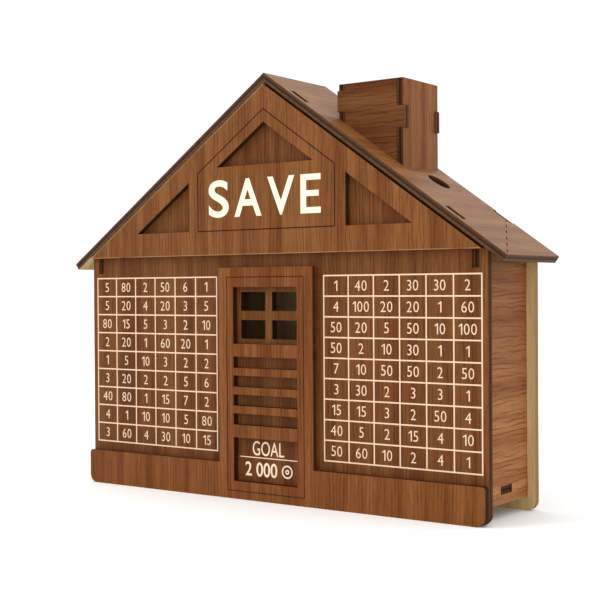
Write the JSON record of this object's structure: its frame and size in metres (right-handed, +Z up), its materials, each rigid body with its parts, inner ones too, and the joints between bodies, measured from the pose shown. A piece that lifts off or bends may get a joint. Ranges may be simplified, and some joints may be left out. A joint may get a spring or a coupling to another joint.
{
  "type": "house-shaped money box",
  "caption": "Flat wooden money box shaped like a gabled house, with a chimney chute, a pen hole in the roof and a swinging cover over the emptying hole in its back.",
  "frame": {"origin": "on the ground, in the middle of the footprint of the whole object", "axes": "+X to the right of someone facing the door, +Y from the front to the back, +Z up"},
  "size_m": [0.218, 0.0512, 0.1752],
  "materials": {
    "veneered_board": "satin",
    "roof_board": "satin",
    "side_board": "satin",
    "back_board": "satin",
    "floor_board": "satin",
    "cover_board": "satin",
    "zinc_steel": "zinc plated"
  },
  "bodies": {
    "house": {"front_wall": "veneered_board", "gable_overlay": "veneered_board", "door_overlay": "veneered_board", "wall_left": "side_board", "wall_right": "side_board", "floor_panel": "floor_board", "back_panel": "back_board", "roof_left": "roof_board", "roof_right": "roof_board", "chimney_front": "veneered_board", "chimney_back": "veneered_board", "chimney_left": "veneered_board", "chimney_right": "veneered_board", "pivot_bolt": "zinc_steel", "pivot_nut": "zinc_steel", "pivot_washers": "zinc_steel"},
    "cover": {"hatch_cover": "cover_board"}
  },
  "joints": [
    {"name": "cover_swing", "type": "hinge", "parent": "house", "child": "cover", "pos_m": [0, 0.02125, 0.085], "axis": [0, 1, 0], "continuous": true}
  ]
}
